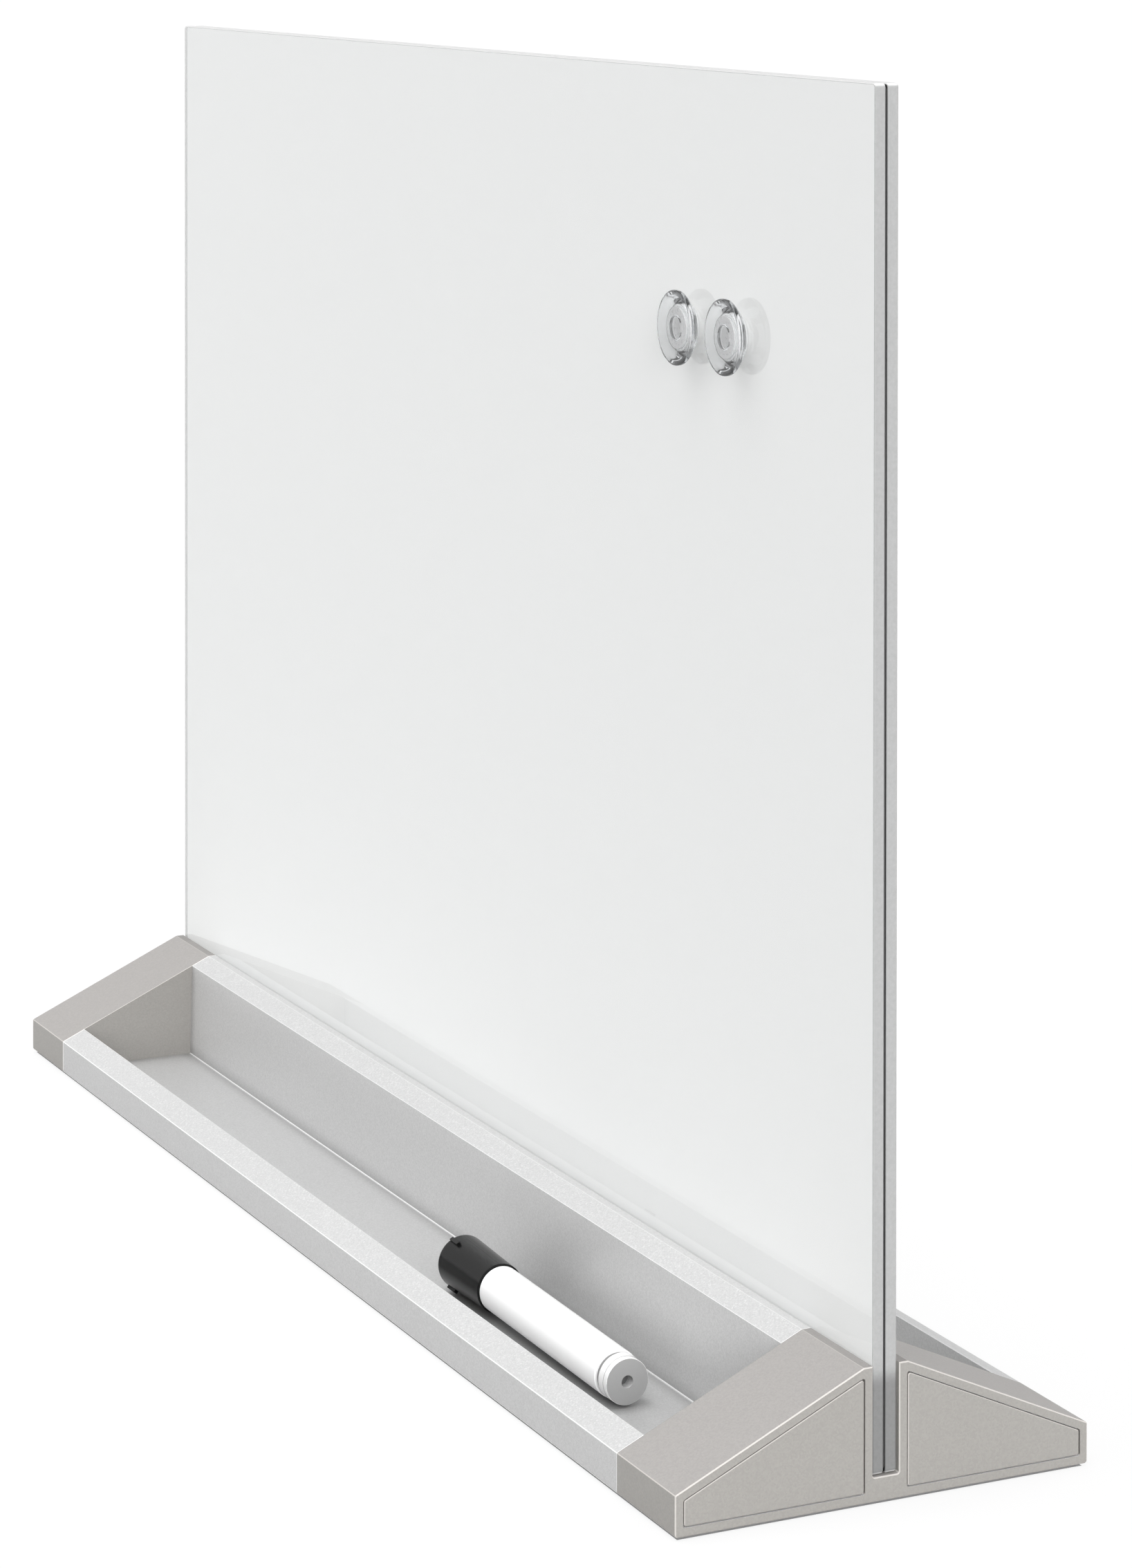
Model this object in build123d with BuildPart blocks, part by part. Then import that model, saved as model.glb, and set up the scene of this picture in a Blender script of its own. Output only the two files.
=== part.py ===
from build123d import *
import math
import os

# Desktop glass whiteboard: two glass panels upright in a long base with a pen tray on each side.
# +X runs along the board, +Y goes from the front to the rear, +Z is up and z = 0 is the desk.
# All lengths are in millimetres and all angles in degrees.

# Base outline
base_length = 610.0
base_depth = 147.0
nose_height = 13.0
ridge_height = 42.3
ridge_land = 3.2
nose_foot_round = 1.0
outline_round = 0.6

# Glass panels and what lies between them
panel_length = 608.0
panel_height = 432.7
panel_thickness = 3.9
panel_seat_height = 7.75
panel_corner_round = 1.5
panel_edge_round = 0.6
film_thickness = 0.1
film_inset = 1.0
sheet_thickness = 0.5
sheet_inset = 3.0
slot_clearance = 0.45

# Extruded base
skin = 1.45
channel_wall = 1.8
rim_width = 9.7
shelf_width = 7.5
tray_wall_lean = 1.0
tray_corner_round = 0.5
rim_round = 0.3
port_wall = 1.5
port_low_height = 9.0
port_high_height = 30.0

# Glazing gasket
gasket_wall = 1.35
gasket_floor = 1.0
lip_height = 2.2

# Foot pads
foot_length = 60.0
foot_width = 8.0
foot_thickness = 1.2
foot_recess = 0.4
foot_end_gap = 15.0
foot_side_clearance = 0.1

# End caps
cap_length = 40.0
cap_inner_wall = 4.0
cap_rim_chamfer = 0.35
cap_slot_round = 0.8
cap_seat_clearance = 0.15
spigot_length = 6.0
spigot_clearance = 0.2
spigot_wall = 1.4

# Cover plates of the end caps
cover_margin = 2.75
cover_thickness = 2.0
cover_gap = 0.4
cover_ledge = 1.2
cover_corner_round = 0.8
cover_edge_chamfer = 0.25
clip_length = 7.0
clip_width = 9.0
clip_thickness = 1.4
clip_wall_clearance = 0.2

# Screws of the end caps
screw_radius = 1.5
screw_length = 12.0
screw_head_radius = 2.8
screw_head_height = 2.2
screw_head_chamfer = 0.5
screw_socket_radius = 1.3
screw_socket_depth = 1.2
screw_port_clearance = 0.05
screw_hole_clearance = 0.2
socket_sides = 6

# Knob magnets, turned about a line that runs out of the glass
magnet_end_gaps = (125.7, 91.0)
magnet_top_gap = 87.05
knob_radius = 12.7
knob_depth = 5.8
knob_rim_depth = 4.1
knob_waist_radius = 10.9
knob_waist_depth = 2.3
knob_foot_radius = 7.9
knob_foot_depth = 0.5
knob_rim_round = 0.9
knob_pocket_clearance = 0.1
knob_cone_radius = 4.3
knob_cone_depth = 3.4
magnet_radius = 7.2
magnet_thickness = 3.0
magnet_edge_chamfer = 0.3
magnet_standoff = 0.1

# Marker, turned about its own line: places along it are counted from its tail
marker_tail_gap = 63.45
marker_wall_gap = 22.04
marker_rest_gap = 0.65
marker_length = 134.0
barrel_radius = 8.1
barrel_start = 8.1
barrel_end = 100.0
barrel_bore_radius = 6.8
barrel_edge_round = 0.4
collar_radius = 7.0
collar_bore_radius = 5.4
collar_end = 112.0
plug_tail_radius = 7.7
plug_rim_radius = 7.85
plug_flange_start = 2.4
plug_flange_end = 5.7
plug_neck_radius = 7.1
plug_end = 14.0
plug_fit_clearance = 0.05
plug_tail_round = 0.15
plug_hole_radius = 2.1
plug_hole_depth = 4.0
reservoir_radius = 6.5
reservoir_gap = 0.5
nib_radius = 2.2
nib_inset = 6.0
nib_end = 128.0
nib_tip_round = 1.6
nib_fit_clearance = 0.05
holder_inset = 9.0
holder_flange_radius = 6.3
holder_flange_thickness = 1.6
holder_cone_end = 122.0
holder_tip_radius = 3.3

# Marker cap
cap_joint_gap = 0.3
cap_mouth_radius = 8.7
cap_far_radius = 9.5
cap_far_round = 2.2
cap_bore_clearance = 0.3
cap_bore_step = 0.5
cap_end_wall = 3.5
cap_mouth_round = 0.25
lug_count = 3
lug_first_angle = 3.0
lug_height = 0.7
lug_width = 1.5
lug_length = 6.0
lug_sink = 1.0

overrun = 5.0

# Places worked out from the sizes above
underside = foot_thickness - foot_recess
half_length = base_length / 2
half_depth = base_depth / 2
seam_x = half_length - cap_length
pack_half = panel_thickness + film_thickness + sheet_thickness / 2
slot_half = pack_half + slot_clearance
ridge_half = slot_half + ridge_land
channel_half = pack_half + gasket_wall
ridge_z = underside + ridge_height
panel_bottom = underside + panel_seat_height
channel_floor = panel_bottom - gasket_floor
cap_slot_floor = panel_bottom - cap_seat_clearance
lip_z = ridge_z - lip_height
floor_z = underside + skin
tray_front_y = half_depth - rim_width
tray_back_y = ridge_half + shelf_width
tray_foot_y = tray_back_y + tray_wall_lean
slope_fall = (ridge_height - nose_height) / (half_depth - ridge_half)
slope_skin = skin * math.sqrt(1 + slope_fall**2)
chamber_y = channel_half + channel_wall
port_bore_radius = screw_radius + screw_port_clearance
port_y = tray_back_y - skin - port_bore_radius
port_points = [
    (side * port_y, underside + height)
    for side in (-1, 1)
    for height in (port_low_height, port_high_height)
]
magnet_z = panel_bottom + panel_height - magnet_top_gap
foot_y = half_depth - rim_width / 2
foot_x = seam_x - foot_end_gap - foot_length / 2
pocket_floor_x = seam_x + cap_inner_wall
cover_seat_x = half_length - cover_thickness

os.makedirs("parts", exist_ok=True)


def write_piece(name, part):
    """Label a finished piece and write it to its own file."""
    part.label = name
    export_step(part, f"parts/{name}.step")


def slope_z(y):
    """Height of the sloping top at a distance y from the middle."""
    return ridge_z - slope_fall * (y - ridge_half)


def side_points(side, points):
    """Points drawn for the rear half, turned to the half that side names."""
    return [(side * y, z) for y, z in points]


def outline_face():
    """Whole outline of the base section, its corners rounded."""
    rear_points = [
        (half_depth, underside),
        (half_depth, underside + nose_height),
        (ridge_half, ridge_z),
    ]
    front_points = side_points(-1, reversed(rear_points))
    with BuildSketch() as outline:
        with BuildLine():
            Polyline(rear_points + front_points, close=True)
        make_face()
        fillet(outline.vertices().sort_by(Axis.Y)[:2], nose_foot_round)
        fillet(outline.vertices().sort_by(Axis.Y)[4:], outline_round)
    return outline.sketch


def half_face(side, inset, corner_round):
    """One half of the base section beside the slot, drawn in by inset."""
    points = [
        (slot_half, underside),
        (half_depth, underside),
        (half_depth, underside + nose_height),
        (ridge_half, ridge_z),
        (slot_half, ridge_z),
    ]
    with BuildSketch() as half:
        with BuildLine():
            Polyline(side_points(side, points), close=True)
        make_face()
        offset(amount=-inset, kind=Kind.INTERSECTION)
        fillet(half.vertices(), corner_round)
    return half.sketch


def tray_face(side):
    """Section of the open pen tray, its floor corners rounded."""
    points = [
        (tray_front_y, floor_z),
        (tray_front_y, ridge_z + overrun),
        (tray_back_y, ridge_z + overrun),
        (tray_back_y, slope_z(tray_back_y)),
        (tray_foot_y, floor_z),
    ]
    with BuildSketch() as tray:
        with BuildLine():
            Polyline(side_points(side, points), close=True)
        make_face()
        fillet(tray.vertices().sort_by(Axis.Y)[:2], tray_corner_round)
    return tray.sketch


def nose_chamber_face(side, inset):
    """The hollow inside the low front rim, drawn in by inset."""
    inner_y = tray_front_y + skin
    outer_y = half_depth - skin
    points = [
        (inner_y, underside + skin),
        (outer_y, underside + skin),
        (outer_y, slope_z(outer_y) - slope_skin),
        (inner_y, slope_z(inner_y) - slope_skin),
    ]
    with BuildSketch() as chamber:
        with BuildLine():
            Polyline(side_points(side, points), close=True)
        make_face()
        if inset > 0:
            offset(amount=-inset, kind=Kind.INTERSECTION)
    return chamber.sketch


def turned(plane, points):
    """Fill a half profile, given as places along a line and radii, on a plane through the line."""
    with BuildSketch(plane) as profile:
        with BuildLine():
            Polyline(points, close=True)
        make_face()
    return profile.sketch


# Extruded base
with BuildPart() as base_extrusion:
    with BuildSketch(Plane.YZ.offset(-seam_x)) as section:
        add(outline_face())
        for side in (-1, 1):
            add(tray_face(side), mode=Mode.SUBTRACT)
            add(nose_chamber_face(side, 0), mode=Mode.SUBTRACT)
            chamber_points = [
                (chamber_y, underside + skin),
                (tray_foot_y - skin, underside + skin),
                (tray_back_y - skin, slope_z(tray_back_y - skin) - slope_skin),
                (chamber_y, slope_z(chamber_y) - slope_skin),
            ]
            with BuildLine():
                Polyline(side_points(side, chamber_points), close=True)
            make_face(mode=Mode.SUBTRACT)
            with Locations((side * foot_y, underside)):
                groove_width = foot_width + 2 * foot_side_clearance
                Rectangle(groove_width, 2 * foot_recess, mode=Mode.SUBTRACT)
        with Locations((0, channel_floor)):
            channel_depth = lip_z - channel_floor
            Rectangle(
                2 * channel_half,
                channel_depth,
                align=(Align.CENTER, Align.MIN),
                mode=Mode.SUBTRACT,
            )
            Rectangle(
                2 * slot_half,
                ridge_height,
                align=(Align.CENTER, Align.MIN),
                mode=Mode.SUBTRACT,
            )
        with Locations((0, underside + skin)):
            Rectangle(
                2 * channel_half,
                channel_floor - channel_wall - underside - skin,
                align=(Align.CENTER, Align.MIN),
                mode=Mode.SUBTRACT,
            )
        with Locations(*port_points):
            Circle(port_bore_radius + port_wall)
            Circle(port_bore_radius, mode=Mode.SUBTRACT)
    extrude(amount=2 * seam_x)
    rim_points = [
        (tray_front_y, slope_z(tray_front_y)),
        (tray_back_y, slope_z(tray_back_y)),
    ]
    rim_edges = base_extrusion.edges().filter_by(Axis.X).filter_by(
        lambda edge: any(
            math.hypot(abs(edge.center().Y) - y, edge.center().Z - z) < rim_round
            for y, z in rim_points
        )
    )
    fillet(rim_edges, rim_round)
write_piece("base_extrusion", base_extrusion.part)

# Glazing gasket: a U that grips the foot of the panels in the channel
with BuildPart() as glazing_gasket:
    with BuildSketch(Plane.YZ.offset(-seam_x)):
        with Locations((0, channel_floor)):
            Rectangle(2 * channel_half, lip_z - channel_floor, align=(Align.CENTER, Align.MIN))
        with Locations((0, panel_bottom)):
            Rectangle(2 * pack_half, ridge_height, align=(Align.CENTER, Align.MIN), mode=Mode.SUBTRACT)
    extrude(amount=2 * seam_x)
write_piece("glazing_gasket", glazing_gasket.part)

# Foot pads in the grooves under the rims
for row_name, row_side in (("front", -1), ("rear", 1)):
    for end_name, end_side in (("left", -1), ("right", 1)):
        with BuildPart() as foot_pad:
            with Locations((end_side * foot_x, row_side * foot_y, 0)):
                Box(
                    foot_length,
                    foot_width,
                    foot_thickness,
                    align=(Align.CENTER, Align.CENTER, Align.MIN),
                )
        write_piece(f"foot_pad_{row_name}_{end_name}", foot_pad.part)

# Glass panels with ground edges
for panel_name, panel_side in (("front", -1), ("rear", 1)):
    panel_inner_y = pack_half - panel_thickness
    panel_middle_y = panel_side * (panel_inner_y + panel_thickness / 2)
    with BuildPart() as glass:
        with Locations((0, panel_middle_y, panel_bottom)):
            Box(
                panel_length,
                panel_thickness,
                panel_height,
                align=(Align.CENTER, Align.CENTER, Align.MIN),
            )
        fillet(glass.edges().filter_by(Axis.Y), panel_corner_round)
        face_edges = glass.faces().filter_by(Axis.Y).edges()
        fillet(face_edges, panel_edge_round)
    write_piece(f"glass_{panel_name}", glass.part)

    film_middle_y = panel_side * (panel_inner_y - film_thickness / 2)
    with BuildPart() as backing_film:
        with Locations((0, film_middle_y, panel_bottom + film_inset)):
            Box(
                panel_length - 2 * film_inset,
                film_thickness,
                panel_height - 2 * film_inset,
                align=(Align.CENTER, Align.CENTER, Align.MIN),
            )
    write_piece(f"backing_film_{panel_name}", backing_film.part)

with BuildPart() as steel_sheet:
    with Locations((0, 0, panel_bottom + sheet_inset)):
        Box(
            panel_length - 2 * sheet_inset,
            sheet_thickness,
            panel_height - 2 * sheet_inset,
            align=(Align.CENTER, Align.CENTER, Align.MIN),
        )
write_piece("steel_sheet", steel_sheet.part)

# End caps, their cover plates and their screws
for end_name, end_side in (("left", -1), ("right", 1)):
    with BuildPart() as end_cap:
        with BuildSketch(Plane.YZ.offset(end_side * seam_x)):
            add(outline_face())
        extrude(amount=end_side * cap_length)
        with BuildSketch(Plane.YZ.offset(end_side * seam_x)) as slot:
            with Locations((0, cap_slot_floor)):
                Rectangle(2 * slot_half, ridge_height, align=(Align.CENTER, Align.MIN))
            fillet(slot.vertices().sort_by(Axis.Y)[:2], cap_slot_round)
        extrude(amount=end_side * cap_length, mode=Mode.SUBTRACT)
        outer_face = end_cap.faces().sort_by(Axis.X)[-1 if end_side > 0 else 0]
        chamfer(outer_face.edges(), cap_rim_chamfer)
        with BuildSketch(Plane.YZ.offset(end_side * cover_seat_x)):
            for side in (-1, 1):
                add(half_face(side, cover_margin, cover_corner_round))
        extrude(amount=end_side * cover_thickness, mode=Mode.SUBTRACT)
        with BuildSketch(Plane.YZ.offset(end_side * pocket_floor_x)):
            for side in (-1, 1):
                add(half_face(side, cover_margin + cover_ledge, cover_corner_round))
        extrude(amount=end_side * (cap_length - cap_inner_wall), mode=Mode.SUBTRACT)
        with BuildSketch(Plane.YZ.offset(end_side * seam_x)):
            with Locations(*port_points):
                Circle(screw_radius + screw_hole_clearance)
        extrude(amount=end_side * cap_inner_wall, mode=Mode.SUBTRACT)
        with BuildSketch(Plane.YZ.offset(end_side * seam_x)):
            for side in (-1, 1):
                add(nose_chamber_face(side, spigot_clearance))
                add(nose_chamber_face(side, spigot_clearance + spigot_wall), mode=Mode.SUBTRACT)
        extrude(amount=-end_side * spigot_length)
    write_piece(f"end_cap_{end_name}", end_cap.part)

    for row_name, row_side in (("front", -1), ("rear", 1)):
        with BuildPart() as cap_cover:
            with BuildSketch(Plane.YZ.offset(end_side * cover_seat_x)):
                add(half_face(row_side, cover_margin + cover_gap, cover_corner_round))
            extrude(amount=end_side * cover_thickness)
            outer_face = cap_cover.faces().sort_by(Axis.X)[-1 if end_side > 0 else 0]
            chamfer(outer_face.edges(), cover_edge_chamfer)
            clip_inset = cover_margin + cover_ledge + clip_wall_clearance
            clip_foot_z = underside + clip_inset
            clip_head_y = (tray_back_y + tray_front_y) / 2
            clip_head_z = slope_z(clip_head_y) - clip_inset * slope_skin / skin
            with BuildSketch(Plane.YZ.offset(end_side * cover_seat_x)):
                with Locations((row_side * clip_head_y, clip_foot_z)):
                    Rectangle(clip_width, clip_thickness, align=(Align.CENTER, Align.MIN))
                with Locations((row_side * clip_head_y, clip_head_z - clip_width * slope_fall / 2)):
                    Rectangle(clip_width, clip_thickness, align=(Align.CENTER, Align.MAX))
            extrude(amount=-end_side * clip_length)
        write_piece(f"cap_cover_{end_name}_{row_name}", cap_cover.part)

    with BuildPart() as cap_screws:
        with BuildSketch(Plane.YZ.offset(end_side * pocket_floor_x)):
            with Locations(*port_points):
                Circle(screw_head_radius)
        extrude(amount=end_side * screw_head_height)
        head_faces = cap_screws.faces().filter_by(Axis.X).group_by(Axis.X)[-1 if end_side > 0 else 0]
        chamfer(head_faces.edges(), screw_head_chamfer)
        with BuildSketch(Plane.YZ.offset(end_side * (pocket_floor_x + screw_head_height))):
            with Locations(*port_points):
                RegularPolygon(screw_socket_radius, socket_sides)
        extrude(amount=-end_side * screw_socket_depth, mode=Mode.SUBTRACT)
        with BuildSketch(Plane.YZ.offset(end_side * pocket_floor_x)):
            with Locations(*port_points):
                Circle(screw_radius)
        extrude(amount=-end_side * screw_length)
    write_piece(f"cap_screws_{end_name}", cap_screws.part)

# Knob magnets: a clear knob with a cone-topped pocket, and a disc magnet pressed in it
pocket_radius = magnet_radius + knob_pocket_clearance
for magnet_name, magnet_end_gap in zip(("left", "right"), magnet_end_gaps):
    knob_foot = (panel_length / 2 - magnet_end_gap, -pack_half - magnet_standoff, magnet_z)
    knob_plane = Plane(origin=knob_foot, x_dir=(0, -1, 0), z_dir=(1, 0, 0))
    knob_axis = Axis(knob_foot, (0, -1, 0))
    knob_points = [
        (0, pocket_radius),
        (0, knob_foot_radius),
        (knob_foot_depth, knob_foot_radius),
        (knob_waist_depth, knob_waist_radius),
        (knob_rim_depth, knob_radius),
        (knob_depth, knob_radius),
        (knob_depth, 0),
        (knob_cone_depth, 0),
        (knob_cone_depth, knob_cone_radius),
        (magnet_thickness, pocket_radius),
    ]
    with BuildPart() as magnet_knob:
        add(turned(knob_plane, knob_points))
        revolve(axis=knob_axis)
        rim_edges = magnet_knob.edges().filter_by(GeomType.CIRCLE).filter_by(
            lambda edge: math.isclose(edge.radius, knob_radius, rel_tol=1e-6)
        )
        fillet(rim_edges, knob_rim_round)
    write_piece(f"magnet_knob_{magnet_name}", magnet_knob.part)

    with BuildPart() as magnet_disc:
        with BuildSketch(Plane(origin=knob_foot, z_dir=(0, -1, 0))):
            Circle(magnet_radius)
        extrude(amount=magnet_thickness)
        chamfer(magnet_disc.edges().filter_by(GeomType.CIRCLE), magnet_edge_chamfer)
    write_piece(f"magnet_disc_{magnet_name}", magnet_disc.part)

# Marker: it lies in the front tray on the wide end of its cap and on its tail
contact_span = marker_length - cap_far_round - barrel_start
marker_tilt = math.degrees(math.asin((cap_far_radius - barrel_radius) / contact_span))
tilt_sine = math.sin(math.radians(marker_tilt))
tilt_cosine = math.cos(math.radians(marker_tilt))
tail_z = floor_z + marker_rest_gap + barrel_radius * tilt_cosine - barrel_start * tilt_sine
marker_direction = (-tilt_cosine, 0, tilt_sine)
marker_tail = (seam_x - marker_tail_gap, -tray_foot_y - marker_wall_gap, tail_z)
marker_plane = Plane(origin=marker_tail, x_dir=marker_direction, z_dir=(0, 1, 0))
marker_axis = Axis(marker_tail, marker_direction)

# End plug: a flanged stopper in the tail of the barrel
with BuildPart() as marker_end_plug:
    plug_shank_radius = barrel_bore_radius - plug_fit_clearance
    plug_points = [
        (0, 0),
        (0, plug_tail_radius),
        (plug_flange_start, plug_tail_radius),
        (plug_flange_start, plug_rim_radius),
        (plug_flange_end, plug_rim_radius),
        (plug_flange_end, plug_neck_radius),
        (barrel_start, plug_neck_radius),
        (barrel_start, plug_shank_radius),
        (plug_end, plug_shank_radius),
        (plug_end, 0),
    ]
    add(turned(marker_plane, plug_points))
    revolve(axis=marker_axis)
    tail_edge = marker_end_plug.edges().filter_by(GeomType.CIRCLE).sort_by(Axis.X)[-1]
    fillet(tail_edge, plug_tail_round)
    with BuildSketch(Plane(origin=marker_tail, z_dir=marker_direction)):
        Circle(plug_hole_radius)
    extrude(amount=plug_hole_depth, mode=Mode.SUBTRACT)
write_piece("marker_end_plug", marker_end_plug.part)

# Barrel: a tube whose front steps down to the collar that carries the cap
with BuildPart() as marker_barrel:
    holder_start = collar_end - holder_inset
    barrel_points = [
        (barrel_start, barrel_bore_radius),
        (barrel_start, barrel_radius),
        (barrel_end, barrel_radius),
        (barrel_end, collar_radius),
        (collar_end, collar_radius),
        (collar_end, collar_bore_radius),
        (holder_start - reservoir_gap, collar_bore_radius),
        (holder_start - reservoir_gap, barrel_bore_radius),
    ]
    add(turned(marker_plane, barrel_points))
    revolve(axis=marker_axis)
    body_edges = marker_barrel.edges().filter_by(GeomType.CIRCLE).filter_by(
        lambda edge: math.isclose(edge.radius, barrel_radius, rel_tol=1e-6)
    )
    fillet(body_edges, barrel_edge_round)
write_piece("marker_barrel", marker_barrel.part)

with BuildPart() as marker_reservoir:
    reservoir_start = plug_end + reservoir_gap
    reservoir_end = barrel_end - reservoir_gap
    reservoir_points = [
        (reservoir_start, 0),
        (reservoir_start, reservoir_radius),
        (reservoir_end, reservoir_radius),
        (reservoir_end, nib_radius + nib_fit_clearance),
        (reservoir_end - nib_inset, nib_radius + nib_fit_clearance),
        (reservoir_end - nib_inset, 0),
    ]
    add(turned(marker_plane, reservoir_points))
    revolve(axis=marker_axis)
write_piece("marker_reservoir", marker_reservoir.part)

with BuildPart() as marker_nib_holder:
    holder_bore_radius = nib_radius + nib_fit_clearance
    holder_points = [
        (holder_start, holder_bore_radius),
        (holder_start, collar_bore_radius - plug_fit_clearance),
        (collar_end, collar_bore_radius - plug_fit_clearance),
        (collar_end, holder_flange_radius),
        (collar_end + holder_flange_thickness, holder_flange_radius),
        (holder_cone_end, holder_tip_radius),
        (holder_cone_end, holder_bore_radius),
    ]
    add(turned(marker_plane, holder_points))
    revolve(axis=marker_axis)
write_piece("marker_nib_holder", marker_nib_holder.part)

with BuildPart() as marker_nib:
    nib_start = reservoir_end - nib_inset
    nib_points = [
        (nib_start, 0),
        (nib_start, nib_radius),
        (nib_end, nib_radius),
        (nib_end, 0),
    ]
    add(turned(marker_plane, nib_points))
    revolve(axis=marker_axis)
    fillet(marker_nib.edges().filter_by(GeomType.CIRCLE).sort_by(Axis.X)[0], nib_tip_round)
write_piece("marker_nib", marker_nib.part)

# Cap: it flares towards its closed end, where three lugs stop the marker from rolling
with BuildPart() as marker_cap:
    mouth_place = barrel_end + cap_joint_gap
    cap_bore_radius = collar_radius + cap_bore_clearance
    far_place = marker_length - cap_far_round
    cap_points = [
        (mouth_place, cap_bore_radius),
        (mouth_place, cap_mouth_radius),
        (far_place, cap_far_radius),
        (marker_length, cap_far_radius),
        (marker_length, 0),
        (marker_length - cap_end_wall, 0),
        (marker_length - cap_end_wall, cap_bore_radius - cap_bore_step),
        (collar_end + cap_joint_gap, cap_bore_radius - cap_bore_step),
        (collar_end + cap_joint_gap, cap_bore_radius),
    ]
    add(turned(marker_plane, cap_points))
    revolve(axis=marker_axis)
    far_edge = marker_cap.edges().filter_by(GeomType.CIRCLE).sort_by(Axis.X)[0]
    fillet(far_edge, cap_far_round)
    mouth_edges = marker_cap.edges().filter_by(GeomType.CIRCLE).filter_by(
        lambda edge: math.isclose(edge.radius, cap_mouth_radius, rel_tol=1e-6)
    )
    fillet(mouth_edges, cap_mouth_round)
    lug_start = marker_plane.origin + marker_plane.x_dir * (far_place - lug_length)
    with BuildSketch(Plane(origin=lug_start, x_dir=(0, 1, 0), z_dir=marker_direction)):
        with PolarLocations(cap_far_radius, lug_count, start_angle=lug_first_angle):
            Rectangle(lug_sink + lug_height, lug_width, align=(Align.CENTER, Align.CENTER))
    extrude(amount=lug_length)
write_piece("marker_cap", marker_cap.part)
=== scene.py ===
import math

import bmesh
import bpy
from mathutils import Matrix, Vector


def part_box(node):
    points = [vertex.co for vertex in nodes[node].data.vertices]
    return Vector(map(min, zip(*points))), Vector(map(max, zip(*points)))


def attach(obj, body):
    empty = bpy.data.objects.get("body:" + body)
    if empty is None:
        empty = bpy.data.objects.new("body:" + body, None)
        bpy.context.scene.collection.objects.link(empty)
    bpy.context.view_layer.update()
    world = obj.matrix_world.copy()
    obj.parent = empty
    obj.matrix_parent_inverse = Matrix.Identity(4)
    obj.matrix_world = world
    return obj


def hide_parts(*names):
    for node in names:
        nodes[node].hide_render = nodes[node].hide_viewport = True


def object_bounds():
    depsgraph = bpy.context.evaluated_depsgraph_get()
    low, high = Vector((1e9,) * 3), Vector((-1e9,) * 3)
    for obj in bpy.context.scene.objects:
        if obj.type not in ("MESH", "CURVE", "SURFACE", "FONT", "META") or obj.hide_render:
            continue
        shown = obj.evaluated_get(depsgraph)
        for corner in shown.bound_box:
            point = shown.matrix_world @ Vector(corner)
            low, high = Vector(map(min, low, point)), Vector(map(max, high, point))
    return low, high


# Desktop glass whiteboard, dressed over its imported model. Lengths are in metres.
# +X runs along the board, +Y goes from the front to the rear, +Z is up and z = 0 is the desk.

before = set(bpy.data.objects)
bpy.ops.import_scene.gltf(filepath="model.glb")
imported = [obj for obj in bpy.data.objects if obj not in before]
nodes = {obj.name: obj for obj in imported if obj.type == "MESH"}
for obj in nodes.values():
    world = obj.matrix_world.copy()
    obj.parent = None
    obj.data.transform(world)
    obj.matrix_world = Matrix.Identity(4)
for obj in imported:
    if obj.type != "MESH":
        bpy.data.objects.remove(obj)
cad_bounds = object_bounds()

MM = 0.001
X, Y, Z = range(3)
UP = (0.0, 0.0, 1.0)
RIGHT = (1.0, 0.0, 0.0)
FRONT = (0.0, -1.0, 0.0)


def grey(value):
    return (value, value, value, 1.0)


# Camera
CAMERA_PLACE = (1.462939, -0.663589, 0.501305)
CAMERA_YAW = -1.1253
CAMERA_PITCH = -0.0141
CAMERA_ROLL = 0.0008
CAMERA_LENS = 98.868
CAMERA_SENSOR = 36.0
CAMERA_SHIFT = (0.000115, -0.5323)
CAMERA_CLIP = (0.05, 200.0)

# Base section: how steep its slopes are, how far its tray walls lean, and places on it
SLOPE_ANGLE = math.atan2(29.3, 65.6)
TRAY_WALL_LEAN = math.atan2(1.0, 33.0)
SEAM_X = 0.265
COVER_SEAT_X = 0.303
TRAY_BACK_Y = 0.0154
TRAY_FRONT_Y = 0.0638
RIDGE_Z = 0.0431
SILL_TOP_Z = 0.0065

# How far shading reaches past the tray's walls, and how soft lines and round fields end
TRAY_MARGIN = 0.1 * MM
LINE_SOFT = 0.05 * MM
FIELD_SOFT = 0.1 * MM

# How far up faces look, as cosines: level ones, slopes, the round of the ridge, and all that lie
LEVEL = (0.985, 0.995)
SLOPES = (0.89, 0.94)
SLOPES_SOFT = 0.02
RIDGE_UP = (0.90, 0.915)
LYING = (0.5, 0.8)

# How far faces look to the front or sideways, as cosines
NOSE_FRONT = (0.97, 0.99)
LEDGE_SIDEWAYS = (0.7, 0.9)
SEAM_SIDEWAYS = (0.5, 0.3)

# Rounds between flat faces, as angles from the nearest face
EDGE_WIDTH = 0.35
RIDGE_ROUND = (0.04, 0.14)

# Aluminium: its tone, the colour of its painted highlights on edges and painted glints, and the
# grey that it sheds on its neighbours
SILVER = grey(0.63)
SILVER_HIGHLIGHT = grey(0.97)
SILVER_SHED = grey(0.76)
GLINT_RANGE = (0.84, 0.94)
GLINT_SHARE = 0.24
SILVER_RIDGE_HIGHLIGHT_SHARE = 0.6
SAWN_END_HIGHLIGHT = (0.45 * MM, 0.15 * MM)

# Painted shade: shares of its tone that the aluminium keeps in tight corners, on the tray floor and
# on the nose
CORNER_SHADE = 0.40
TRAY_FLOOR_SHADE = 0.90
NOSE_SHADE = 0.90

# How near a neighbour makes a corner tight
TIGHT_REACH = 6.0 * MM
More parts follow.
